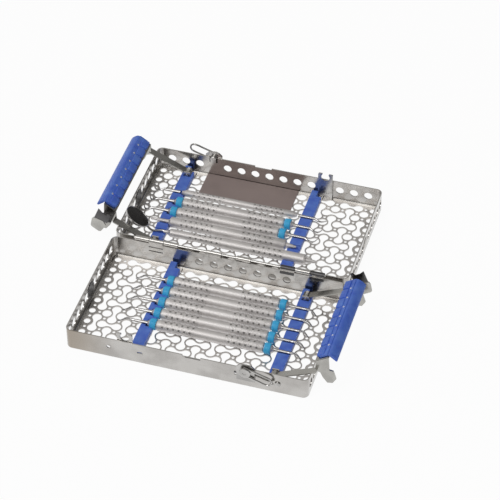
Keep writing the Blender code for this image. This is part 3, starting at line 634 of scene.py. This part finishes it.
def tips(kind):
    thick = tool["neckThin"] * tool["tipFit"]
    made = []
    for side, path in zip((1, -1), bends[kind]):
        points = [(side * (tool["neck"] - 6.0), 0, 0), (side * (tool["neck"] - 1.0), 0, 0)]
        points += [(side * (tool["neck"] + x), y, z) for x, y, z in path]
        count = len(points)
        radii = [thick + (tool["tip"] - thick) * max(0, n - 1) / (count - 2) for n in range(count)]
        made.append(tube(points, radii))
    return together(made)


ringIn = tool["ring"] - tool["ringWide"] / 2
ringOut = tool["ring"] + tool["ringWide"] / 2
full = tool["grip"]
grips = {
    "scaler": bothEnds([(ringIn - 2.2, full), (ringIn - 0.9, full - 0.35), (ringIn - 0.3, tool["seat"]),
                        (ringOut + 0.3, tool["seat"]), (ringOut + 1.0, 2.7),
                        (ringOut + 2.3, tool["shoulder"])]),
    "explorer": bothEnds([(tool["ring"] - 0.6, tool["slim"]), (tool["ring"] + 0.6, tool["slim"] - 0.6),
                          (tool["ring"] + 3, tool["shoulder"])]),
    "probe": [(-60.5, 0.0), (-60.5, 1.0), (-52, 2.6), (-51.2, 4.2), (-50.3, full), (50.0, full), (50.9, 4.3),
              (52.5, 1.9), (54, 1.75), (68.5, 1.0), (68.5, 0)],
    "mirror": [(-70.5, 0), (-70.5, 1.0), (-60.5, 2.4), (-60.2, 4.1), (-59.3, full), (12, full), (20, 4.3),
               (30, 3.6), (58.6, 3.6), (59.6, 2.9), (61, 1.6), (65, 1.3), (65, 0)],
}


def neckMesh():
    start, end, thin = ringOut + 2.0, tool["neck"], tool["neckThin"]
    profile = [(start, 0), (start, tool["shoulder"]), (end - 9, thin + 0.2), (end, thin), (end, 0)]
    return together([turned([(side * x, radius) for x, radius in profile], 20) for side in (1, -1)])


def closedGrip(profile):
    if profile[0][1] > 0:
        profile = [(profile[0][0], 0.0)] + profile + [(profile[-1][0], 0.0)]
    return turned(profile, 36)


def mirrorPieces(half, body, spot):
    # neck that bends up to the rim of the cup, the cup, and the face just below the cup's lip
    faces, middle = Vector(mirror["faces"]).normalized(), Vector(mirror["middle"])
    back = (middle - faces * mirror["deep"] / 2) * mm
    turn = Matrix.Translation(back) @ faces.to_track_quat("X", "Z").to_matrix().to_4x4()
    left = Vector((-1, 0, 0))
    inward = (left - faces * faces.dot(left)).normalized()
    end = middle + inward * (mirror["radius"] + 0.1)
    neck = tube([(62, 0, 0), (66, 0, 0.5), end + inward * 5, end], [1.2, 1.15, 1.05, 0.95])
    piece(f"{body}_neck", neck, "tipSteel", half, body, place=spot)
    r, d, lip = mirror["radius"], mirror["deep"], mirror["lip"]
    cup = turned([(0, 0), (0, r - 1.6), (0.25, r - 0.9), (0.8, r - 0.25), (1.4, r), (d - 0.2, r),
                  (d, r - 0.25), (d, r - lip + 0.15), (d - 0.25, r - lip), (d - 1.4, r - lip),
                  (d - 1.4, 0)], 48)
    piece(f"{body}_cup", cup, "tipSteel", half, body, [f"{body}_head"], spot @ turn)
    disc = turned([(d - 1.1, 0), (d - 1.1, r - lip - 0.2), (d - 0.35, r - lip - 0.2),
                   (d - 0.3, r - lip - 0.5), (d - 0.3, 0)], 48)
    piece(f"{body}_face", disc, "mirrorFace", half, body, [f"{body}_glass"], spot @ turn)


gripMeshes = {kind: closedGrip(profile) for kind, profile in grips.items()}
tipMeshes = {kind: together([tips(kind), neckMesh()]) for kind in bends}
ringHalf, ringRound = tool["ringWide"] / 2, tool["ringRound"]
ringMesh = turned(bothEnds([(ringHalf - 0.7, ringRound), (ringHalf - 0.25, ringRound - 0.2),
                            (ringHalf, ringRound - 0.6), (ringHalf, tool["seat"] + 0.15)]), 36, True)
for half in ("base", "lid"):
    for number, (kind, middle) in enumerate(contents[half], start=1):
        body = f"{half}_{kind}_{number}"
        spot = shift(middle, tool["middle"] + tool["pitch"] * (number - 3), tool["high"])
        piece(f"{body}_grip", gripMeshes[kind], "handleSteel", half, body, [f"{body}_handle"], spot)
        if kind in tipMeshes:
            piece(f"{body}_working_ends", tipMeshes[kind], "tipSteel", half, body, place=spot)
        if kind == "scaler":
            for name, side in (("left", -1), ("right", 1)):
                at = spot @ shift(side * tool["ring"], 0, 0)
                piece(f"{body}_band_{name}", ringMesh, "skySilicone", half, body,
                      [f"{body}_ring_{name}"], at)
        if kind == "mirror":
            mirrorPieces(half, body, spot)
print("stage 5: instruments")

# Hold-down bars: silicone pad with a fingered leaf and a plain crowned leaf
pad = {"axis": (70.9, 7.7), "end": 44.5, "fingers": 8, "thick": 2.0, "leaf": 10.7, "notch": 3.2, "cut": 1.1,
       "lobe": 1.3, "lobeSteps": 8, "lobeForm": 0.6, "soft": 0.3, "near": (114.04, 39.45),
       "far": (103.84, 32.85)}
rib = {"side": 0.8, "start": 3.4, "end": 0.8, "high": 1.0, "round": 0.75}
rivet = {"from": 2.0, "radius": 0.85, "high": 0.5}
# section of the plain leaf, in X and Z
crown = [(112.2, 39.3), (112.9, 40.3), (114.0, 40.9), (115.2, 40.9), (116.9, 40.2), (118.7, 38.9),
         (120.4, 37.3), (121.3, 36.1), (121.2, 35.2), (120.6, 34.8), (119.4, 35.4), (117.4, 37.0),
         (115.5, 38.4), (114.45, 39.55)]
# plate and rounded tab at each bar's hinge end, and the web that ties them to the bar's own end plate:
# millimetres beyond the side wall and above the hinge line
barEnd = {"y": 55.5, "thick": 0.9, "tabThick": 1.1, "soft": 0.25,
          "plate": [(3.4, 13.4), (5.8, 15.1), (7.5, 13.0), (11.4, 15.4), (14.5, 19.1), (19.0, 7.9),
                    (7.4, 4.3)],
          "tab": [(8.6, 2.0), (11.0, 6.2), (19.2, 8.6), (21.0, 6.6), (22.4, -0.6), (21.6, -2.2),
                  (15.6, -6.1), (13.6, -5.9), (11.6, -3.0)],
          "web": ((4.5, 14.0), (44.7, 55.0), (5.4, 6.4))}
fingerPitch = 2 * pad["end"] / pad["fingers"]


def fingeredLeaf():
    edge = [(pad["end"], 0.0), (-pad["end"], 0.0)]
    for number in range(pad["fingers"]):
        start = -pad["end"] + number * fingerPitch
        edge.append((start, pad["leaf"] - pad["notch"]))
        for step in range(pad["lobeSteps"] + 1):
            angle = math.pi * (1 - step / pad["lobeSteps"])
            across = math.copysign(abs(math.cos(angle)) ** pad["lobeForm"], math.cos(angle))
            down = pad["lobe"] * (1 - abs(math.sin(angle)) ** pad["lobeForm"])
            width = (fingerPitch / 2 - pad["cut"]) * across
            edge.append((start + fingerPitch / 2 + width, pad["leaf"] - down))
    edge.append((pad["end"], pad["leaf"] - pad["notch"]))
    ribs = [softBlock((number * fingerPitch - pad["end"] + rib["side"],
                       (number + 1) * fingerPitch - pad["end"] - rib["side"]),
                      (rib["start"], pad["leaf"] - rib["end"]),
                      (pad["thick"] - rib["high"], pad["thick"] + rib["high"]), rib["round"])
            for number in range(pad["fingers"])]
    return together([softened(sheetShape([edge], pad["thick"], "fingeredLeaf"), pad["soft"]), *ribs])


def rivetsMesh():
    head = turned([(-0.2, 0), (-0.2, rivet["radius"]), (rivet["high"] / 2, rivet["radius"]),
                   (rivet["high"], rivet["radius"] / 2), (rivet["high"], 0)], 16)
    standing = Matrix.Rotation(math.radians(-90), 4, "Y")
    places = [number * fingerPitch - pad["end"] for number in range(1, pad["fingers"])]
    return together([moved(head, shift(x, rivet["from"], pad["thick"]) @ standing) for x in places])


def endShape(name, thick):
    outline = [(tray["halfX"] + x, tray["hinge"] + z) for x, z in barEnd[name]]
    flat = sheetShape([outline], thick, name)
    return softened(upright(flat, barEnd["y"] - barEnd["thick"] + thick), barEnd["soft"])


def plainLeaf():
    outline = [(x - pad["axis"][0], z - pad["axis"][1]) for x, z in crown]
    return upright(sheetShape([outline], 2 * pad["end"], "leaf"), pad["end"])


near = Vector([a - b for a, b in zip(pad["near"], pad["axis"])])
down = (Vector(pad["far"]) - Vector(pad["near"])).normalized()
leafTurn = Matrix(((0, down.x, down.y, near.x * mm), (1, 0, 0, 0), (0, down.y, -down.x, near.y * mm),
                   (0, 0, 0, 1)))
leafMesh = moved(fingeredLeaf(), leafTurn)
plainMesh = plainLeaf()
pivot = shift(pad["axis"][0], 0, pad["axis"][1])
rivets = moved(rivetsMesh(), leafTurn)
webX, webY, webZ = barEnd["web"]
endWeb = block([tray["halfX"] + x for x in webX], webY, [tray["hinge"] + z for z in webZ])
endPlate = together([endShape("plate", barEnd["thick"]), endWeb])
endTab = endShape("tab", barEnd["tabThick"])
for half in ("base", "lid"):
    body = f"{half}_bar"
    piece(f"{half}_bar_fingered_leaf", leafMesh, "royalSilicone", half, body, [f"{half}_bar_pad"], pivot,
          angle=40)
    piece(f"{half}_bar_plain_leaf", plainMesh, "royalSilicone", half, body, place=pivot, angle=50)
    piece(f"{half}_bar_rivets", rivets, "brightSteel", half, body, place=pivot)
    # the end plate and its web are coloured dark: painted shade of the bar's hollow end
    piece(f"{half}_bar_end_shade_plate", endPlate, "darkSteelAndShade", half, body)
    piece(f"{half}_bar_end_tab", endTab, "barSteel", half, body)

# Latches: a round cam with two flats, its cap and a hairpin wire lever; a notched catch for each
latch = {"x": wall["latchX"], "high": wall["camHigh"], "cam": wall["camRound"], "flat": 2.5, "far": 8,
         "wire": 0.8, "wide": 4.0, "long": 23.0, "plate": 1.2, "gap": 0.3, "cap": 4.8, "neck": 2.9,
         "ball": 1.5, "ballSteps": 12, "rest": {"base": -18, "lid": 18}}
catch = {"x": -50.8, "wide": 13.0, "rise": 7.5, "thick": 1.2, "gap": 0.4, "mouth": 2.8, "round": 3.8,
         "corner": 0.8, "lip": 0.4, "steps": 18}
leverPlane = -(tray["halfY"] + latch["plate"] + 2 * latch["gap"] + latch["wire"])


def camMesh():
    inner = tray["halfY"] - tray["sheet"] - catch["gap"] - catch["thick"] - latch["gap"]
    face = tray["halfY"] + latch["gap"] + latch["plate"]
    end = face + 2 * latch["gap"] + 2 * latch["wire"]
    cam, neck, cap, far = latch["cam"], latch["neck"], latch["cap"], latch["far"]
    shaft = turned([(inner, 0), (inner, cam - 0.3), (inner + 0.3, cam), (face, cam), (face, neck),
                    (end, neck), (end, cap - 0.2), (end + 0.3, cap), (end + 0.7, cap - 0.1),
                    (end + 1.0, cap - 0.6), (end + 1.0, 1.6), (end + 0.6, 1.4), (end + 0.6, 0)], 36)
    flats = [block((inner - 1, face - 0.1), sorted((side * latch["flat"], side * far)), (-far, far))
             for side in (-1, 1)]
    return moved(boolean(shaft, together(flats)), outward)


def leverMesh():
    wide = latch["wide"]
    reach = latch["long"] - wide
    path = [(x, leverPlane, wide) for x in (-2.5, 4, 12)]
    path += [(reach + wide * math.cos(a), leverPlane, wide * math.sin(a))
             for a in [math.radians(90 - 30 * n) for n in range(7)]]
    path += [(x, leverPlane, -wide) for x in (12, 4, -2.5)]
    return tube(path, [latch["wire"]] * len(path))


def catchMesh():
    side, top = catch["wide"] / 2, tray["high"] + catch["rise"]
    corner, lip = catch["corner"], catch["lip"]
    centre = 2 * tray["hinge"] - latch["high"]
    mouth = math.asin(catch["mouth"] / catch["round"])
    right = [(side, top - corner), (side - corner, top), (catch["mouth"] + lip, top),
             (catch["mouth"], top - lip)]
    outline = [(-side, tray["sheet"]), (side, tray["sheet"]), *right]
    for step in range(catch["steps"] + 1):
        turn = math.pi / 2 - mouth - 2 * (math.pi - mouth) * step / catch["steps"]
        outline.append((catch["round"] * math.cos(turn), centre + catch["round"] * math.sin(turn)))
    outline += [(-x, z) for x, z in reversed(right)]
    y = -tray["halfY"] + tray["sheet"] + catch["gap"] + catch["thick"]
    return upright(sheetShape([outline], catch["thick"], "catch"), y)


camShape, leverShape, catchShape = camMesh(), leverMesh(), catchMesh()
ballTurns = [math.pi * n / latch["ballSteps"] for n in range(latch["ballSteps"] + 1)]
ball = turned([(latch["ball"] * math.cos(a), latch["ball"] * math.sin(a)) for a in ballTurns], 24)
for half in ("base", "lid"):
    body = f"{half}_latch"
    spot = shift(latch["x"], 0, latch["high"])
    piece(f"{half}_turn_cam", camShape, "latchSteel", half, body, [f"{half}_latch_cam"], spot)
    turn = Matrix.Rotation(math.radians(-latch["rest"][half]), 4, "Y")
    piece(f"{half}_wire_lever", leverShape, "latchSteel", half, body, [f"{half}_latch_lever"], spot @ turn)
    if half == "base":
        piece("base_lever_ball", ball, "latchSteel", half, body,
              place=spot @ turn @ shift(latch["long"], leverPlane, 0))
    piece(f"{half}_notched_catch", catchShape, "latchSteel", half, half, [f"{half}_catch"],
          shift(catch["x"], 0, 0))
print("stage 6: bars and latches")

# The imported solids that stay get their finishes
kept = {"rail_channel": "floorSteel", "rail_strip": "royalSilicone", "latch_bracket": "latchSteel",
        "bar_frame": "barSteel", "bar_pin": "latchSteel", "hinge_pin": "latchSteel",
        "cover_plate": "coverPlate"}
for name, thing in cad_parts.items():
    for part, look in kept.items():
        if part in name:
            thing.data.materials.clear()
            thing.data.materials.append(finish[look])

# Studio: pale floor that looks white and keeps the shadow, a sky that is brighter from the left,
# and two weak lamps; the floor lies just below the surface that the cassette stands on
studio = {"floorColor": 0.86, "floorSize": 6.0, "floorDrop": 0.0002, "ownWhite": 0.95,
          "worldLow": 0.62, "worldHigh": 0.80, "highAt": 0.75, "warmth": (1.0, 0.985, 0.96),
          "worldStrength": 0.8, "leftAt": -0.5, "rightAt": 0.45, "leftShare": 1.1, "rightShare": 0.28,
          "lamps": (("key", (-0.5, -0.9, 1.5), 0.9, 8.0), ("fill", (1.3, -0.5, 1.0), 1.1, 4.0))}


def floorLook():
    look = Look("studioFloor", (studio["floorColor"],) * 3, 0.9, 0.0)
    path = look.add("ShaderNodeLightPath")
    seen = look.add("ShaderNodeMath", {"operation": "MAXIMUM"},
                    {0: path.part("Is Camera Ray"), 1: path.part("Is Glossy Ray")})
    glow = look.add("ShaderNodeEmission", None, {"Color": (1.0, 1.0, 1.0), "Strength": 1.0})
    both = look.add("ShaderNodeMixShader", None, {0: seen * studio["ownWhite"],
                                                  1: Wire(look, look.shader.outputs[0]), 2: glow})
    look.tree.links.new(both.socket, look.tree.nodes["Material Output"].inputs["Surface"])
    return look.material


bm = bmesh.new()
bmesh.ops.create_grid(bm, x_segments=2, y_segments=2, size=studio["floorSize"])
ground = bpy.data.objects.new("studio_floor", clean(bm, "studio_floor"))
ground.location.z = -studio["floorDrop"]
ground.data.materials.append(floorLook())
bpy.context.scene.collection.objects.link(ground)

world = bpy.data.worlds.new("studio")
world.use_nodes = True
bpy.context.scene.world = world
sky = world.node_tree
back = sky.nodes["Background"]


def skyNode(kind, inputs, settings=None, output=0):
    node = sky.nodes.new(kind)
    for key, value in (settings or {}).items():
        setattr(node, key, value)
    for key, value in inputs.items():
        if isinstance(value, bpy.types.NodeSocket):
            sky.links.new(value, node.inputs[key])
        else:
            node.inputs[key].default_value = value
    return node.outputs[output]


direction = sky.nodes.new("ShaderNodeTexCoord").outputs["Generated"]
height = skyNode("ShaderNodeSeparateXYZ", {0: direction}, output=2)
ramp = sky.nodes.new("ShaderNodeValToRGB")
sky.links.new(height, ramp.inputs["Fac"])
stops = ((0.0, studio["worldLow"]), (studio["highAt"], studio["worldHigh"]))
for stop, (place, shade) in zip(ramp.color_ramp.elements, stops):
    stop.position = place
    stop.color = (*[shade * share for share in studio["warmth"]], 1.0)
path = sky.nodes.new("ShaderNodeLightPath")
mixed = skyNode("ShaderNodeMix", {0: path.outputs["Is Camera Ray"], 6: ramp.outputs["Color"],
                                  7: (1, 1, 1, 1)}, {"data_type": "RGBA"}, output=2)
aside = skyNode("ShaderNodeMapRange", {"Value": skyNode("ShaderNodeSeparateXYZ", {0: direction}),
                                       "From Min": studio["leftAt"], "From Max": studio["rightAt"],
                                       "To Min": studio["leftShare"], "To Max": studio["rightShare"]})
dimmed = skyNode("ShaderNodeMath", {0: aside, 1: studio["worldStrength"]}, {"operation": "MULTIPLY"})
strength = skyNode("ShaderNodeMix", {0: path.outputs["Is Camera Ray"], 2: dimmed, 3: 1.0})
sky.links.new(mixed, back.inputs["Color"])
sky.links.new(strength, back.inputs["Strength"])
for name, place, size, power in studio["lamps"]:
    light = bpy.data.lights.new(name, "AREA")
    light.energy = power
    light.size = size
    lamp = bpy.data.objects.new(name, light)
    lamp.location = place
    lamp.rotation_euler = (-Vector(place)).to_track_quat("-Z", "Y").to_euler()
    bpy.context.scene.collection.objects.link(lamp)

# Camera: where the photograph was taken from, worked out from the floor's hole grid
view = {"azimuth": 18.65, "elevation": 44.68, "roll": -1.37, "away": 1780.0, "focal": 2175.0,
        "centre": (207.4, 323.8), "frame": 500.0, "sensor": 36.0, "nearest": 0.05}


def cameraMatrix():
    turn, tilt, roll = (math.radians(view[name]) for name in ("azimuth", "elevation", "roll"))
    back = Vector((math.sin(turn) * math.cos(tilt), -math.cos(turn) * math.cos(tilt), math.sin(tilt)))
    right = Vector((math.cos(turn), math.sin(turn), 0.0))
    up = back.cross(right)
    right, up = math.cos(roll) * right + math.sin(roll) * up, math.cos(roll) * up - math.sin(roll) * right
    place = Vector((0, -apart, 0)) + back * view["away"] * mm
    aside = (view["frame"] / 2 - view["centre"][0]) / view["focal"]
    lift = (view["centre"][1] - view["frame"] / 2) / view["focal"]
    back = (back - right * aside - up * lift).normalized()
    right = (right - back * right.dot(back)).normalized()
    up = back.cross(right)
    rows = [(right[n], up[n], back[n], place[n]) for n in range(3)]
    return Matrix((*rows, (0, 0, 0, 1)))


lens = bpy.data.cameras.new("camera")
lens.sensor_width = view["sensor"]
lens.lens = view["focal"] / view["frame"] * view["sensor"]
lens.clip_start = view["nearest"]
camera = bpy.data.objects.new("camera", lens)
camera.matrix_world = cameraMatrix()
bpy.context.scene.collection.objects.link(camera)
bpy.context.scene.camera = camera
bpy.context.scene.view_settings.view_transform = "Standard"
print("stage 7: studio and camera")
